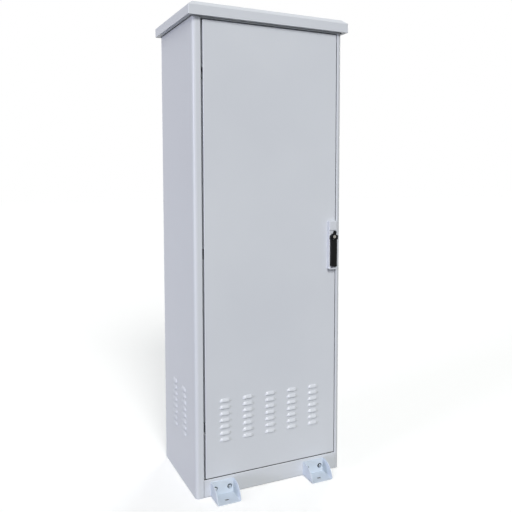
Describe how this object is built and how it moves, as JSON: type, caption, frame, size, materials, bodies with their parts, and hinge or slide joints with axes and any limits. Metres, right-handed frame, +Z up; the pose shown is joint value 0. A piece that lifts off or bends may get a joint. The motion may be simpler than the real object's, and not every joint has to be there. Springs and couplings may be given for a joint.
{
  "type": "roadside utility cabinet",
  "caption": "Free-standing outdoor equipment cabinet of folded sheet steel with a louvred swing-handle door, rain roof, anchor feet and rack rails inside.",
  "frame": {"origin": "centre of the cabinet's footprint on the floor", "axes": "+Z up, -Y out of the door's face, +X to the right seen from the front"},
  "size_m": [0.744, 0.694, 2.103],
  "materials": {
    "powder_coat": "light grey fine-textured powder coat",
    "foot_coating": "pale bluish coating",
    "zinc_steel": "zinc plated",
    "black_plastic": "moulded, fine grain",
    "black_metal": "black coated die casting",
    "lock_metal": "satin nickel",
    "black_rubber": "matte foam rubber",
    "filter_felt": "non-woven mat"
  },
  "bodies": {
    "cabinet": {"left_side_panel": "powder_coat", "right_side_panel": "powder_coat", "rear_panel": "powder_coat", "rear_panel_screws": "zinc_steel", "base_pan": "powder_coat", "gland_plate": "zinc_steel", "cable_grommets": "black_rubber", "earth_stud": "zinc_steel", "top_pan": "powder_coat", "front_header": "powder_coat", "bottom_front_rail": "powder_coat", "bottom_rear_rail": "powder_coat", "roof_canopy": "powder_coat", "roof_spacers": "zinc_steel", "roof_bolts": "zinc_steel", "rack_rail_front_left": "zinc_steel", "rack_rail_front_right": "zinc_steel", "rack_rail_rear_left": "zinc_steel", "rack_rail_rear_right": "zinc_steel", "rail_support_bottom_left": "zinc_steel", "rail_support_bottom_right": "zinc_steel", "rail_support_top_left": "zinc_steel", "rail_support_top_right": "zinc_steel", "rail_bolts": "zinc_steel", "anchor_foot_front_left": "foot_coating", "anchor_foot_front_right": "foot_coating", "anchor_foot_rear_left": "foot_coating", "anchor_foot_rear_right": "foot_coating", "anchor_bolts": "zinc_steel", "anchor_washers": "zinc_steel", "side_filter_left": "filter_felt", "side_filter_right": "filter_felt", "side_filter_frame_left": "zinc_steel", "side_filter_frame_right": "zinc_steel", "hinge_bracket_lower": "zinc_steel", "hinge_bracket_middle": "zinc_steel", "hinge_bracket_upper": "zinc_steel", "hinge_screws": "zinc_steel"},
    "door": {"door_skin": "powder_coat", "door_gasket": "black_rubber", "door_stiffener_left": "powder_coat", "door_stiffener_right": "powder_coat", "door_filter": "filter_felt", "door_filter_frame": "zinc_steel", "hinge_leaf_lower": "zinc_steel", "hinge_leaf_middle": "zinc_steel", "hinge_leaf_upper": "zinc_steel", "hinge_pins": "zinc_steel", "handle_housing": "powder_coat", "handle_screws": "zinc_steel", "lock_case": "zinc_steel", "rod_guides": "black_plastic"},
    "hub": {"handle_hub": "black_metal", "drive_pinion": "zinc_steel", "lock_cylinder": "lock_metal"},
    "lever": {"handle_lever": "black_plastic"},
    "plug": {"lock_plug": "lock_metal"},
    "dust_cover": {"lock_dust_cover": "black_plastic"},
    "upper_rod": {"upper_rod": "zinc_steel"},
    "lower_rod": {"lower_rod": "zinc_steel"}
  },
  "joints": [
    {"name": "door_hinge", "type": "hinge", "parent": "cabinet", "child": "door", "pos_m": [-0.295, -0.239, 1.05925], "axis": [0, 0, -1], "range_deg": [0, 110]},
    {"name": "handle_turn", "type": "hinge", "parent": "door", "child": "hub", "pos_m": [0.302, -0.25, 1.117], "axis": [0, 1, 0], "range_deg": [0, 90]},
    {"name": "lever_lift", "type": "hinge", "parent": "hub", "child": "lever", "pos_m": [0.302, -0.278, 1.117], "axis": [-1, 0, 0], "range_deg": [0, 40]},
    {"name": "key_turn", "type": "hinge", "parent": "hub", "child": "plug", "pos_m": [0.302, -0.25, 1.117], "axis": [0, 1, 0], "range_deg": [0, 90]},
    {"name": "dust_cover_swing", "type": "hinge", "parent": "hub", "child": "dust_cover", "pos_m": [0.302, -0.2855, 1.1262], "axis": [0, 1, 0], "range_deg": [0, 180]},
    {"name": "upper_rod_slide", "type": "slide", "parent": "door", "child": "upper_rod", "axis": [0, 0, -1], "range_m": [0, 0.0189]},
    {"name": "lower_rod_slide", "type": "slide", "parent": "door", "child": "lower_rod", "axis": [0, 0, 1], "range_m": [0, 0.0189]}
  ],
  "couplings": [
    {"joint": "upper_rod_slide", "follows": "handle_turn", "m_per_rad": 0.012},
    {"joint": "lower_rod_slide", "follows": "handle_turn", "m_per_rad": 0.012}
  ]
}
